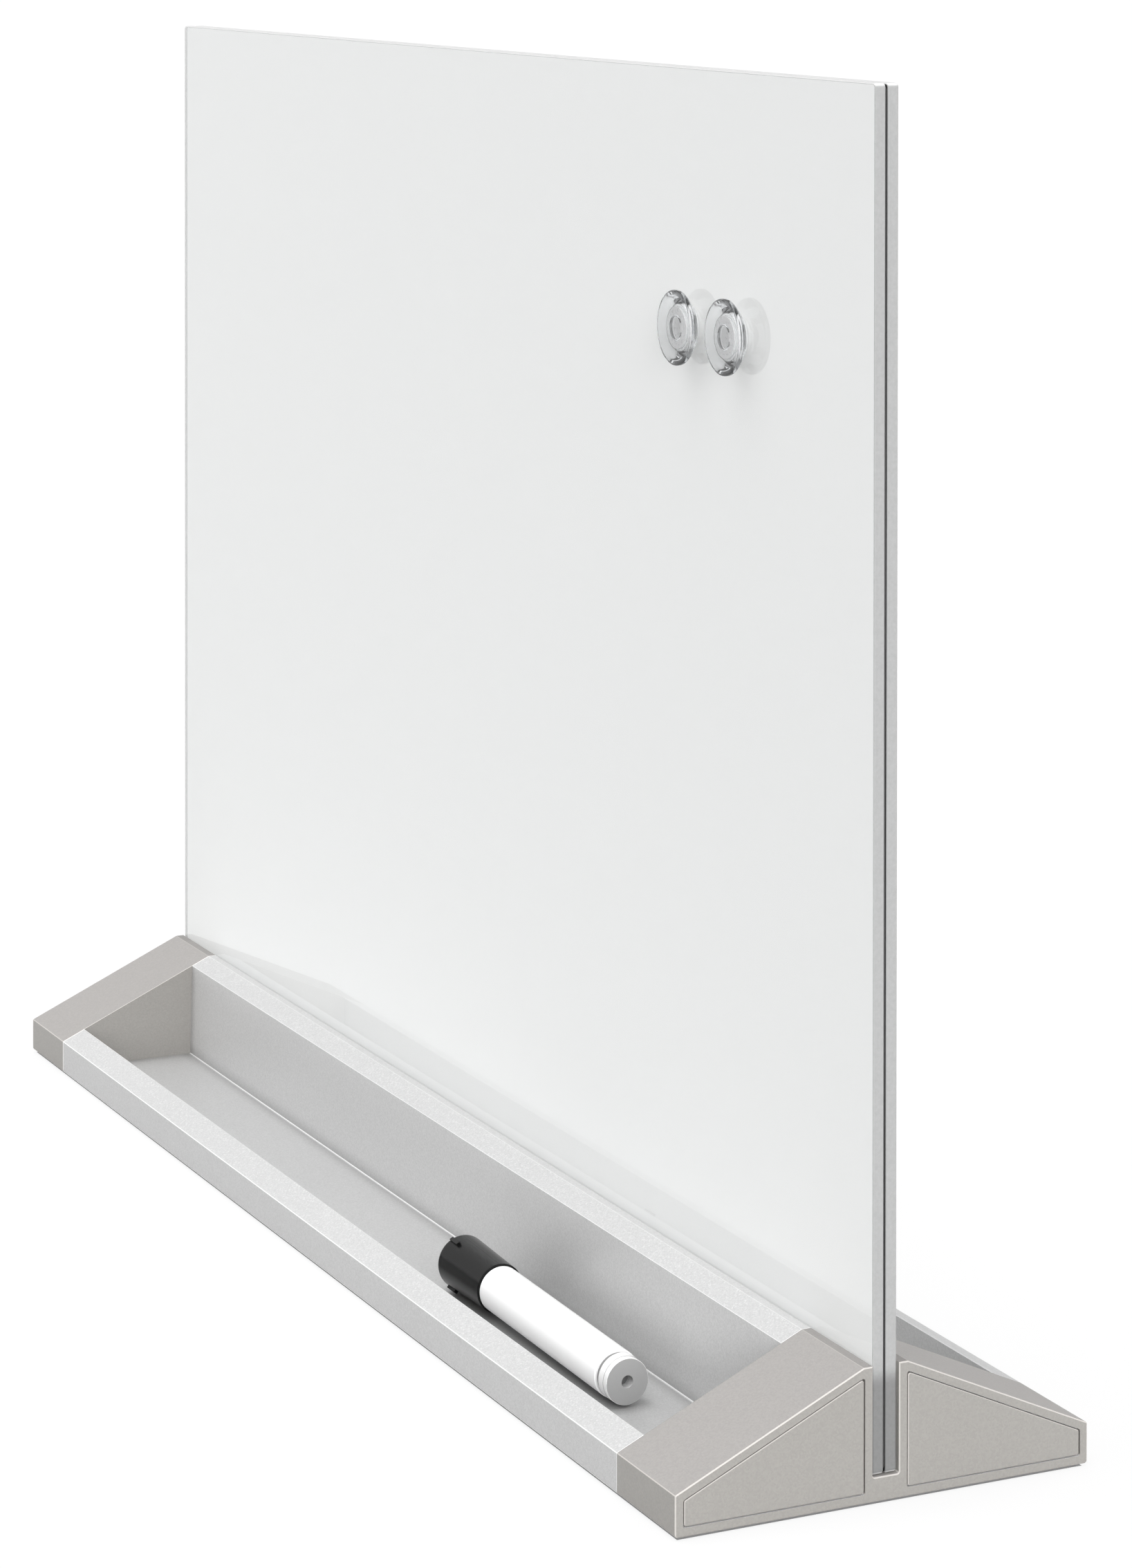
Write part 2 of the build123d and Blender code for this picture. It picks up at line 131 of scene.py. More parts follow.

# End caps' lacquer on upright faces, with a painted light tint on its slopes, painted highlights on
# its edges, and painted light on the ledges of its recesses
CAP_SIDE = (0.358, 0.345, 0.326, 1.0)
CAP_SLOPE_LIGHT_TINT = (0.360, 0.344, 0.333, 1.0)
CAP_HIGHLIGHT = (0.90, 0.86, 0.82, 1.0)
CAP_LEDGE_LIGHT = grey(0.85)
CAP_HIGHLIGHT_SHARE = 0.45
CAP_RIDGE_HIGHLIGHT_SHARE = 0.7
LEDGE_DEPTH = 0.2 * MM
SILL_FADE = 0.5 * MM

# Painted shade on the land beside the glass and on the walls that close the tray, and the left
# cap's seam, which gets a painted highlight
LAND_SHADE = 0.80
LAND_FADE = 1.0 * MM
INNER_WALL_SHADE = 0.76
INNER_WALL = (0.2 * MM, 0.1 * MM)
SEAM_HIGHLIGHT_SHARE = 0.9
SEAM_HIGHLIGHT_LINE = (0.45 * MM, 0.25 * MM)

# Depth of the fine bumps on lacquer and metal, and on moulded pieces
GRAIN_DEPTH = 0.05 * MM
MOULDED_DEPTH = 0.02 * MM

# Faces of the glass panels, from the middle of the board
PANEL_BACK_Y = 0.35 * MM
PANEL_FACE_Y = 4.25 * MM
FACE_MARGIN = 0.02 * MM
FILM_GAP = 0.02 * MM
FILM_CORNER = 1.5 * MM

# Glass: clear faces, the white layer behind them, and ground edges, the top ones in painted light
GLASS_TINT = (0.985, 0.992, 0.990, 1.0)
GLASS_INDEX = 1.5
ENAMEL = (0.924, 0.921, 0.921, 1.0)
ENAMEL_BACK = grey(0.05)
FROST_DARK = (0.36, 0.362, 0.362, 1.0)
FROST_LIGHT = (0.465, 0.468, 0.468, 1.0)
TOP_EDGE_LIGHT = grey(0.64)
TOP_EDGE_LIGHT_WITHIN = grey(0.90)
END_EDGE_WITHIN = grey(0.42)
TOP_EDGE_UP = (0.3, 0.6)

# Painted shade: the panels' ends are darker in the caps' slots
SLOT_TOP_Z = 0.043
SLOT_FADE = 7.0 * MM
SLOT_SHADE = 0.54

# Clear plastic, and the share of light that it passes on
PLASTIC_TINT = (0.97, 0.975, 0.98, 1.0)
PLASTIC_INDEX = 1.49
PLASTIC_PASSED = grey(0.90)

# Bounces after which a ray inside the clear knobs finds the dark part of the studio
LAST_BRIGHT_DEPTH = 2.0

# Knob magnets, as distances out of the glass and radii in millimetres
KNOB_OUTLINE = (
    # out, radius, corner
    (0.0, 7.3, 0.0),
    (0.0, 7.9, 0.25),
    (0.5, 7.9, 0.25),
    (2.3, 10.9, 0.8),
    (4.1, 12.7, 0.5),
    (5.8, 12.7, 0.8),
    (5.8, 0.0, 0.0),
    (4.4, 0.0, 0.0),
    (4.4, 4.1, 0.25),
    (3.1, 4.4, 0.12),
    (3.0, 7.3, 0.12),
)
MAGNET_OUTLINE = (
    (0.0, 0.0, 0.0),
    (0.0, 7.2, 0.3),
    (3.0, 7.2, 0.3),
    (3.0, 0.0, 0.0),
)

# Magnets' nickel, with a round field of painted shade in the middle of each face and a line of
# painted highlight around it
NICKEL = grey(0.90)
FIELD_RADIUS = 4.0 * MM
FIELD_LINE = 0.35 * MM
FIELD_SHADE = grey(0.70)
FIELD_HIGHLIGHT = grey(0.98)

# Marker's plug: its tone, its groove, from the end face, its end face and its hole, the last three
# in painted shade
PLUG_TONE = grey(0.84)
PLUG_GROOVE = 5.75 * MM
PLUG_GROOVE_SHADE = grey(0.25)
PLUG_FACE_SHADE = grey(0.33)
PLUG_FACE_RIGHT = (0.90, 0.96)
PLUG_HOLE_RADIUS = 2.15 * MM
PLUG_HOLE_SHADE = grey(0.12)

# Foot pads: how far they stand back from the solids' sides, their bevel and their corners
PAD_INSET = 1.6 * MM
PAD_BEVEL = 0.3 * MM
PAD_CORNER = 1.5 * MM

# Points on each rounded corner and around each turned piece, and the bend that stays crisp
ROUND_STEPS = 8
TURN_STEPS = 180
CRISP_ANGLE = math.radians(30)
ON_AXIS = 1e-6

# Floor, as the camera sees it and as light and the clear knobs find it
FLOOR_RADIUS = 60.0
FLOOR_SIDES = 96
FLOOR_DROP = 0.2 * MM
FLOOR_TONE = grey(0.78)
FLOOR_DARK = grey(0.16)
FLOOR_DARK_REACH = (0.9, 0.6)
SHADOW_SHARE = 0.14

# Painted contact shadow on the part of the floor that the board covers
COVERED_SHADOW_TONE = grey(0.05)
COVERED_SHADOW_SHARE = 0.75
COVERED_INSET = 1.3 * MM

# Studio light: stronger from the front, weaker from low down
BEHIND = (0.0, 0.45)
RAISED = (0.05, 0.40)
FRONT_STRENGTH = 1.26
REAR_STRENGTH = 0.90
LOW_SHARE = 0.76

# Dark parts of the studio: steep directions for the clear knobs, and the rear for reflections
STEEP = (0.22, 0.40)
REAR_GLOSS_SHARE = 0.60
DARK_STRENGTH = 0.06

# Lamps: name, direction towards the lamp and strength. They all have one width, in degrees.
SUNS = (
    ("overhead", (-0.15, -0.22, 1.0), 0.36),
    ("right_side", (1.0, -0.22, 0.25), 0.90),
    ("rear_side", (-0.3, 1.0, 0.0), 0.56),
)
SUN_WIDTH = 40.0


class Look:
    """The node tree of a material, or of the world, with short calls for its nodes."""

    def __init__(self, name, world=None):
        kind = "World" if world else "Material"
        self.material = world or bpy.data.materials.new(name)
        self.material.use_nodes = True
        self.tree = self.material.node_tree
        self.tree.nodes.clear()
        self.output = self.tree.nodes.new(f"ShaderNodeOutput{kind}")
        coordinates = self.tree.nodes.new("ShaderNodeTexCoord")
        self.place = coordinates.outputs["Generated" if world else "Object"]
        self.normal = coordinates.outputs["Normal"]

    def add(self, kind, **settings):
        node = self.tree.nodes.new(f"ShaderNode{kind}")
        for name, value in settings.items():
            setattr(node, name, value)
        return node

    def feed(self, socket, source):
        """Link a node's output to a socket, or set the socket to a plain value."""
        if isinstance(source, bpy.types.NodeSocket):
            self.tree.links.new(source, socket)
        else:
            socket.default_value = source

    def math(self, operation, *sources):
        node = self.add("Math", operation=operation)
        for socket, source in zip(node.inputs, sources):
            self.feed(socket, source)
        return node.outputs[0]

    def both(self, first, second):
        """The product: 1 where both values are 1."""
        return self.math("MULTIPLY", first, second)

    def either(self, *sources):
        """The highest of some values."""
        highest = sources[0]
        for source in sources[1:]:
            highest = self.math("MAXIMUM", highest, source)
        return highest

    def opposite(self, source):
        return self.math("SUBTRACT", 1.0, source)

    def size(self, source):
        """A value without its sign."""
        return self.math("ABSOLUTE", source)

    def step(self, source, low, high):
        """0 below low, 1 above high and smooth between them. Low may lie above high."""
        node = self.add("MapRange", interpolation_type="SMOOTHSTEP")
        self.feed(node.inputs["Value"], source)
        node.inputs["From Min"].default_value = low
        node.inputs["From Max"].default_value = high
        return node.outputs["Result"]

    def window(self, source, low, high, soft):
        """1 where a value lies between low and high, 0 outside, with soft ends."""
        above = self.step(source, low - soft, low)
        below = self.step(source, high + soft, high)
        return self.both(above, below)

    def spread(self, source, low, high):
        """A value from 0 to 1 spread from low to high."""
        node = self.add("MapRange")
        self.feed(node.inputs["Value"], source)
        node.inputs["To Min"].default_value = low
        node.inputs["To Max"].default_value = high
        return node.outputs["Result"]

    def blend(self, blend_type, factor, first, second):
        node = self.add("Mix", data_type="RGBA", blend_type=blend_type)
        self.feed(node.inputs[0], factor)
        self.feed(node.inputs[6], first)
        self.feed(node.inputs[7], second)
        return node.outputs[2]

    def mix(self, factor, first, second):
        return self.blend("MIX", factor, first, second)

    def times(self, colour, value):
        return self.blend("MULTIPLY", 1.0, colour, value)

    def varied(self, tone, texture, amount):
        """A tone that a texture makes darker and lighter by an amount."""
        return self.times(tone, self.spread(texture, 1.0 - amount, 1.0 + amount))

    def shaded(self, tone, where, share):
        """A tone that falls to a share of itself where a value is 1."""
        return self.times(tone, self.spread(where, 1.0, share))

    def along(self, direction):
        """How far the surface looks in a direction: the cosine of the angle between them."""
        node = self.add("VectorMath", operation="DOT_PRODUCT")
        self.feed(node.inputs[0], self.normal)
        node.inputs[1].default_value = direction
        return node.outputs["Value"]

    def part_of_place(self, axis):
        node = self.add("SeparateXYZ")
        self.feed(node.inputs[0], self.place)
        return node.outputs[axis]

    def near_line(self, axis, point, radius):
        """1 within a radius of the line through a point along an axis, 0 outside."""
        away = self.add("VectorMath", operation="SUBTRACT")
        self.feed(away.inputs[0], self.place)
        away.inputs[1].default_value = point
        across = self.add("VectorMath", operation="MULTIPLY")
        self.feed(across.inputs[0], away.outputs[0])
        across.inputs[1].default_value = [0.0 if other == axis else 1.0 for other in (X, Y, Z)]
        length = self.add("VectorMath", operation="LENGTH")
        self.feed(length.inputs[0], across.outputs[0])
        return self.step(length.outputs["Value"], radius, radius - FIELD_SOFT)

    def noise(self, scale, detail=2.0):
        node = self.add("TexNoise")
        self.feed(node.inputs["Vector"], self.place)
        node.inputs["Scale"].default_value = scale
        node.inputs["Detail"].default_value = detail
        return node.outputs["Fac"]

    def grains(self, scale):
        """A random value from 0 to 1 for each small cell of the surface."""
        node = self.add("TexVoronoi")
        self.feed(node.inputs["Vector"], self.place)
        node.inputs["Scale"].default_value = scale
        split = self.add("SeparateColor")
        self.feed(split.inputs[0], node.outputs["Color"])
        return split.outputs[0]

    def openness(self, reach):
        """0 in a tight place, 1 where nothing stands within the reach."""
        node = self.add("AmbientOcclusion", samples=8)
        node.inputs["Distance"].default_value = reach
        return node.outputs["AO"]

    def bump(self, height, strength, distance):
        node = self.add("Bump")
        self.feed(node.inputs["Height"], height)
        node.inputs["Strength"].default_value = strength
        node.inputs["Distance"].default_value = distance
        return node.outputs["Normal"]

    def edges(self, directions):
        """1 on the narrow rounds between flat faces that look in these directions."""
        nearest = self.either(*[self.along(direction) for direction in directions])
        return self.step(nearest, math.cos(EDGE_WIDTH / 3), math.cos(EDGE_WIDTH))

    def ridge_edge(self):
        """1 on the round between a slope of the base and the flat land beside the glass."""
        up = self.along(UP)
        front = self.along((0.0, -math.sin(SLOPE_ANGLE), math.cos(SLOPE_ANGLE)))
        rear = self.along((0.0, math.sin(SLOPE_ANGLE), math.cos(SLOPE_ANGLE)))
        narrow, wide = RIDGE_ROUND
        bent = self.step(self.either(up, front, rear), math.cos(narrow), math.cos(wide))
        return self.both(bent, self.step(up, *RIDGE_UP))

    def ray(self, output):
        """What Light Path tells about the ray that finds the surface."""
        return self.add("LightPath").outputs[output]

    def passing(self):
        """1 for the rays that carry light, which go straight through clear pieces."""
        return self.either(self.ray("Is Shadow Ray"), self.ray("Is Diffuse Ray"))

    def lost_ray(self, place):
        """1 for a ray that clear pieces have bent, once it has bounced often or meets a place."""
        deep = self.step(self.ray("Ray Depth"), LAST_BRIGHT_DEPTH, LAST_BRIGHT_DEPTH + 1.0)
        return self.both(self.ray("Is Transmission Ray"), self.either(deep, place))

    def shader(self, kind, **sockets):
        """A shader with these sockets, which are named as in Blender, in lower case."""
        node = self.add(kind)
        for name, source in sockets.items():
            self.feed(node.inputs[name.replace("_", " ").title().replace("Ior", "IOR")], source)
        return node.outputs[0]

    def mix_shader(self, factor, first, second):
        node = self.add("MixShader")
        for socket, source in zip(node.inputs, (factor, first, second)):
            self.feed(socket, source)
        return node.outputs[0]

    def finish(self, shader):
        """Make a shader the surface, and return the material."""
        self.tree.links.new(shader, self.output.inputs["Surface"])
        return self.material


def section_directions():
    """Directions that the flat faces of the base and its end caps look in."""
    rise = (math.sin(SLOPE_ANGLE), math.cos(SLOPE_ANGLE))
    lean = (math.cos(TRAY_WALL_LEAN), math.sin(TRAY_WALL_LEAN))
    directions = [(0, 0, 1), (0, 0, -1), (1, 0, 0), (-1, 0, 0)]
    for side in (-1, 1):
        directions.append((0, side, 0))
        directions.append((0, side * rise[0], rise[1]))
        directions.append((0, side * lean[0], lean[1]))
    return directions


def silver_look():
    """Blasted and anodised aluminium: satin and finely grained, with painted glints on its slopes,
    painted highlights on its edges and beside its sawn ends, and painted shade in the tray's
    corners, on the tray floor and on the nose.
    """
    look = Look("silver_base")
    up = look.along(UP)
    depth = look.size(look.part_of_place("Y"))
    in_tray = look.window(depth, TRAY_BACK_Y - TRAY_MARGIN, TRAY_FRONT_Y + TRAY_MARGIN, LINE_SOFT)
    outside = look.opposite(in_tray)

    tone = look.varied(SILVER, look.noise(scale=9.0), amount=0.03)
    tone = look.varied(tone, look.grains(scale=2200.0), amount=0.07)
    # Painted glints: white specks in the base colour, only on the slopes that look up
    glint = look.step(look.grains(scale=1800.0), *GLINT_RANGE)
    glint = look.both(glint, look.window(up, *SLOPES, SLOPES_SOFT))
    tone = look.mix(look.both(glint, GLINT_SHARE), tone, SILVER_HIGHLIGHT)

    # Painted shade in the tray's tight corners, on the tray floor and on the nose
    tight = look.both(in_tray, look.opposite(look.openness(TIGHT_REACH)))
    tone = look.shaded(tone, tight, CORNER_SHADE)
    tray_floor = look.both(in_tray, look.step(up, *LEVEL))
    tone = look.shaded(tone, tray_floor, TRAY_FLOOR_SHADE)
    nose = look.both(outside, look.step(look.along(FRONT), *NOSE_FRONT))
    tone = look.shaded(tone, nose, NOSE_SHADE)
    tone = look.mix(look.ray("Is Diffuse Ray"), tone, SILVER_SHED)

    # Painted highlights: light lines on the rounds between flat faces, on the ridge's round and in
    # a band beside the sawn ends at the seams
    edge = look.edges(section_directions())
    ridge = look.both(look.ridge_edge(), SILVER_RIDGE_HIGHLIGHT_SHARE)
    outer, inner = SAWN_END_HIGHLIGHT
    end = look.step(look.size(look.part_of_place("X")), SEAM_X - outer, SEAM_X - inner)
    bright = look.either(edge, ridge, look.both(end, outside))

    grain = look.noise(scale=2600.0, detail=3.0)
    shader = look.shader(
        "BsdfPrincipled",
        base_color=look.mix(bright, tone, SILVER_HIGHLIGHT),
        metallic=0.35,
        roughness=look.spread(grain, 0.36, 0.50),
        normal=look.bump(grain, strength=0.12, distance=GRAIN_DEPTH),
    )
    return look.finish(shader)


def cap_look():
    """Warm grey lacquer with a fine grain, a painted light tint on its slopes, painted highlights
    on its edges and along the left cap's seam, painted shade on the land and the inner walls, and
    painted light on the ledges and sills of its recesses.
    """
    look = Look("cap_grey")
    up = look.along(UP)
    sideways = look.size(look.along(RIGHT))
    height = look.part_of_place("Z")
    place = look.part_of_place("X")
    distance = look.size(place)
    lying = look.step(up, *LYING)

    # Painted light: faces that lie get a slightly different tint from the upright ones
    tone = look.mix(lying, CAP_SIDE, CAP_SLOPE_LIGHT_TINT)
    tone = look.varied(tone, look.noise(scale=14.0), amount=0.02)
    tone = look.varied(tone, look.grains(scale=1700.0), amount=0.05)
    # Painted shade on the land beside the glass and on the walls that close the tray
    land = look.both(look.step(up, *LEVEL), look.step(height, RIDGE_Z - LAND_FADE, RIDGE_Z))
    tone = look.shaded(tone, land, LAND_SHADE)
    past, near = INNER_WALL
    inner_wall = look.step(distance, SEAM_X + past, SEAM_X + near)
    tone = look.shaded(tone, inner_wall, INNER_WALL_SHADE)

    # Painted light: the ledges and sills of the covers' recesses are pale so that the narrow
    # grooves render lighter than their shade
    near_seat = (COVER_SEAT_X - LEDGE_DEPTH, COVER_SEAT_X + LEDGE_DEPTH)
    ledge = look.window(distance, *near_seat, LINE_SOFT)
    ledge = look.both(ledge, look.step(sideways, *LEDGE_SIDEWAYS))
    sill = look.both(lying, look.step(height, SILL_TOP_Z, SILL_TOP_Z - SILL_FADE))
    tone = look.mix(look.either(ledge, sill), tone, CAP_LEDGE_LIGHT)

    # Painted highlights on the caps' edges and ridge, and a painted highlight line along the left
    # cap's seam
    edge = look.either(
        look.edges(section_directions()),
        look.both(look.ridge_edge(), CAP_RIDGE_HIGHLIGHT_SHARE),
    )
    outer, inner = SEAM_HIGHLIGHT_LINE
    seam = look.step(place, -SEAM_X - outer, -SEAM_X - inner)
    seam = look.both(seam, look.math("LESS_THAN", place, 0.0))
    seam = look.both(seam, look.step(sideways, *SEAM_SIDEWAYS))
    bright = look.either(look.both(edge, CAP_HIGHLIGHT_SHARE), look.both(seam, SEAM_HIGHLIGHT_SHARE))
    tone = look.mix(bright, tone, CAP_HIGHLIGHT)

    grain = look.noise(scale=2600.0, detail=3.0)
    shader = look.shader(
        "BsdfPrincipled",
        base_color=look.mix(look.ray("Is Diffuse Ray"), tone, CAP_SIDE),
        metallic=0.12,
        roughness=look.spread(grain, 0.38, 0.52),
        normal=look.bump(grain, strength=0.05, distance=GRAIN_DEPTH),
    )
    return look.finish(shader)


def glass_look(row):
    """A clear panel, white behind and ground at its edges, with painted light on its top edges and
    painted shade on its ends in the caps' slots.
    """
    look = Look(f"{row}_panel")
    within = look.add("NewGeometry").outputs["Backfacing"]
    enamel = look.shader("BsdfDiffuse", color=look.mix(within, ENAMEL_BACK, ENAMEL))

    mottle = look.noise(scale=900.0, detail=4.0)
    # Painted shade: the ground ends are darker low down, inside the caps' slots
    in_slot = look.step(look.part_of_place("Z"), SLOT_TOP_Z, SLOT_TOP_Z - SLOT_FADE)
    frosted = look.shaded(look.mix(mottle, FROST_DARK, FROST_LIGHT), in_slot, SLOT_SHADE)
    # Painted light: the ground top edges are lighter than the ends, seen from outside and from
    # within
    on_top = look.step(look.size(look.along(UP)), *TOP_EDGE_UP)
    outer = look.mix(on_top, frosted, TOP_EDGE_LIGHT)
    inner = look.mix(on_top, END_EDGE_WITHIN, TOP_EDGE_LIGHT_WITHIN)
    ground = look.shader(
        "BsdfPrincipled",
        base_color=look.mix(within, outer, inner),
        roughness=look.spread(mottle, 0.30, 0.48),
        normal=look.bump(mottle, strength=0.2, distance=GRAIN_DEPTH),
    )

    passing = look.passing()
    clear = look.shader("BsdfGlass", color=GLASS_TINT, roughness=0.0, ior=GLASS_INDEX)
    through = look.shader("BsdfTransparent", color=GLASS_TINT)
    face = look.mix_shader(passing, clear, through)
    edge = look.mix_shader(look.both(passing, within), ground, through)
    depth = look.size(look.part_of_place("Y"))
    is_face = look.math("GREATER_THAN", depth, PANEL_FACE_Y - FACE_MARGIN)
    is_back = look.math("LESS_THAN", depth, PANEL_BACK_Y + FACE_MARGIN)
    return look.finish(look.mix_shader(is_back, look.mix_shader(is_face, edge, face), enamel))


def clear_plastic_look():
    """Polished clear acrylic that lets most light through to what is behind it."""
    look = Look("clear_plastic")
    clear = look.shader("BsdfGlass", color=PLASTIC_TINT, roughness=0.0, ior=PLASTIC_INDEX)
    through = look.shader("BsdfTransparent", color=PLASTIC_PASSED)
    return look.finish(look.mix_shader(look.passing(), clear, through))


def magnet_look():
    """Satin nickel with a round field of painted shade in the middle, inside a line of painted
    highlight.
    """
    look = Look("magnet_nickel")
    tone = NICKEL
    boxes = [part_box(f"magnet_disc_{end}") for end in ("left", "right")]
    # Painted shade in a round field and a painted highlight line around it
    rounds = ((FIELD_RADIUS + FIELD_LINE, FIELD_HIGHLIGHT), (FIELD_RADIUS, FIELD_SHADE))
    for radius, round_tone in rounds:
        fields = [look.near_line(Y, (low + high) / 2, radius) for low, high in boxes]
        tone = look.mix(look.either(*fields), tone, round_tone)
    texture = look.noise(scale=700.0, detail=3.0)
    shader = look.shader(
        "BsdfPrincipled",
        base_color=look.varied(tone, texture, amount=0.02),
        metallic=0.15,
        roughness=look.spread(texture, 0.24, 0.32),
    )
    return look.finish(shader)


def plug_look():
    """White plastic with painted shade on its end face, in its vent hole and in its groove."""
    look = Look("marker_plug")
    low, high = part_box("marker_end_plug")
    groove_x = high.x - PLUG_GROOVE
    # Painted shade in the groove behind the flange
    groove = look.step(look.part_of_place("X"), groove_x, groove_x - FIELD_SOFT)
    # Painted shade on the end face, which looks away from most of the light
    face = look.step(look.along(RIGHT), *PLUG_FACE_RIGHT)
    # Painted shade in the vent hole
    hole = look.near_line(X, (low + high) / 2, PLUG_HOLE_RADIUS)
    tone = look.mix(groove, PLUG_TONE, PLUG_GROOVE_SHADE)
    tone = look.mix(face, tone, PLUG_FACE_SHADE)
    tone = look.mix(hole, tone, PLUG_HOLE_SHADE)
    texture = look.noise(scale=900.0, detail=3.0)
    shader = look.shader(
        "BsdfPrincipled",
        base_color=look.varied(tone, texture, amount=0.02),
        roughness=look.spread(texture, 0.34, 0.42),
        normal=look.bump(texture, strength=0.05, distance=MOULDED_DEPTH),
    )
    return look.finish(shader)


def plain_look(name, value, roughness, metallic=0.0, grain=0.04, shine=0.5, shed=None):
    """A grey with a fine, faint texture. Shed is the grey that it casts on its neighbours."""
    look = Look(name)
    texture = look.noise(scale=900.0, detail=3.0)
    tone = grey(value)
    if shed is not None:
        tone = look.mix(look.ray("Is Diffuse Ray"), tone, grey(shed))
    shader = look.shader(
        "BsdfPrincipled",
        base_color=look.varied(tone, texture, grain),
        metallic=metallic,
        specular_ior_level=shine,
        roughness=look.spread(texture, roughness * 0.9, roughness * 1.1),
        normal=look.bump(texture, strength=0.05, distance=MOULDED_DEPTH),
    )
    return look.finish(shader)


def paint(node, material):
    """Give a CAD node one material."""
    slots = nodes[node].data.materials
    slots.clear()
    slots.append(material)


def finish_piece(name, solid, material, body):
    """Turn a drawn solid into an object with one material, riding on a body."""
    bmesh.ops.recalc_face_normals(solid, faces=solid.faces)
    mesh = bpy.data.meshes.new(name)
    solid.to_mesh(mesh)
    solid.free()
    mesh.materials.append(material)
    piece = bpy.data.objects.new(name, mesh)
    bpy.context.scene.collection.objects.link(piece)
    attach(piece, body)
    return piece


def slab_loop(solid, low, high, thin, corner, level, inset):
    """The outline of a plate with rounded corners, at a place on its thin axis."""
    wide, tall = [axis for axis in (X, Y, Z) if axis != thin]
    loop = []
    for number, (side_wide, side_tall) in enumerate(((1, 1), (-1, 1), (-1, -1), (1, -1))):
        middle_wide = (high if side_wide > 0 else low)[wide] - side_wide * corner
        middle_tall = (high if side_tall > 0 else low)[tall] - side_tall * corner
        for step in range(ROUND_STEPS + 1):
            angle = math.pi / 2 * (number + step / ROUND_STEPS)
            place = Vector()
            place[wide] = middle_wide + (corner - inset) * math.cos(angle)
            place[tall] = middle_tall + (corner - inset) * math.sin(angle)
            place[thin] = level
            loop.append(solid.verts.new(place))
    return loop


def make_slab(name, low, high, thin, corner, levels, material):
    """A plate of the board, thin along one axis. A level is a place on that axis and an inset."""
    solid = bmesh.new()
    loops = [slab_loop(solid, low, high, thin, corner, level, inset) for level, inset in levels]
    solid.faces.new(loops[0])
    solid.faces.new(loops[-1])
    for loop, following in zip(loops, loops[1:]):
        for number in range(len(loop)):
            after = (number + 1) % len(loop)
            solid.faces.new([loop[number], loop[after], following[after], following[number]])
    return finish_piece(name, solid, material, "board")


def soften(outline):
    """Points of an outline of (out, radius, corner), with each corner rounded over its length."""
    points = []
    count = len(outline)
    for number, (out, radius, corner) in enumerate(outline):
        here = Vector((out, radius))
        if corner == 0.0:
            points.append(here)
            continue
        before = Vector(outline[number - 1][:2])
        after = Vector(outline[(number + 1) % count][:2])
        start = here + (before - here).normalized() * corner
        end = here + (after - here).normalized() * corner
        for step in range(ROUND_STEPS + 1):
            share = step / ROUND_STEPS
            rest = 1 - share
            points.append(rest ** 2 * start + 2 * share * rest * here + share ** 2 * end)
    return points


def make_turned(name, outline, origin, axis, material, body):
    """A closed piece turned about an axis: smooth, and crisp where its outline bends sharply."""
    axis = Vector(axis).normalized()
    across = axis.orthogonal().normalized()
    second = axis.cross(across)
    solid = bmesh.new()
    rings = []
    for out, radius in soften(outline):
        middle = Vector(origin) + axis * out * MM
        if radius < ON_AXIS:
            rings.append([solid.verts.new(middle)])
            continue
        ring = []
        for number in range(TURN_STEPS):
            angle = 2 * math.pi * number / TURN_STEPS
            place = middle + (across * math.cos(angle) + second * math.sin(angle)) * radius * MM
            ring.append(solid.verts.new(place))
        rings.append(ring)
    for number, ring in enumerate(rings):
        following = rings[(number + 1) % len(rings)]
        if len(ring) == 1 and len(following) == 1:
            continue
        for place in range(TURN_STEPS):
            corners = [ring[place % len(ring)], ring[(place + 1) % len(ring)]]
            corners += [following[(place + 1) % len(following)], following[place % len(following)]]
            solid.faces.new(list(dict.fromkeys(corners)))
    piece = finish_piece(name, solid, material, body)
    piece.data.shade_smooth()
    piece.data.set_sharp_from_angle(angle=CRISP_ANGLE)
    return piece


def make_knobs(clear, nickel):
    """Smooth knobs and magnets in the places of the CAD ones."""
    for end in ("left", "right"):
        body = f"magnet_{end}"
        low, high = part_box(f"magnet_knob_{end}")
        origin = Vector(((low.x + high.x) / 2, high.y, (low.z + high.z) / 2))
        knob = make_turned(f"clear_knob_{end}", KNOB_OUTLINE, origin, FRONT, clear, body)
        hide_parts(f"magnet_knob_{end}")
        disc = make_turned(f"knob_magnet_{end}", MAGNET_OUTLINE, origin, FRONT, nickel, body)
        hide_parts(f"magnet_disc_{end}")


def make_film(row, side, material):
    """The layer behind a panel, a hair off the glass so that no two faces lie in one place."""
    low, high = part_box(f"backing_film_{row}")
    if side < 0:
        low.y += FILM_GAP
    else:
        high.y -= FILM_GAP
    levels = ((low.y, 0.0), (high.y, 0.0))
    film = make_slab(f"panel_backing_{row}", low, high, Y, FILM_CORNER, levels, material)
    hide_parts(f"backing_film_{row}")


def make_pad(row, end, material):
    """A foot pad with rounded corners and a bevelled sole, set back under the rim."""
    low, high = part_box(f"foot_pad_{row}_{end}")
    low.y += PAD_INSET
    high.y -= PAD_INSET
    levels = ((low.z, PAD_BEVEL), (low.z + PAD_BEVEL, 0.0), (high.z, 0.0))
    pad = make_slab(f"sole_pad_{row}_{end}", low, high, Z, PAD_CORNER, levels, material)
    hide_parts(f"foot_pad_{row}_{end}")


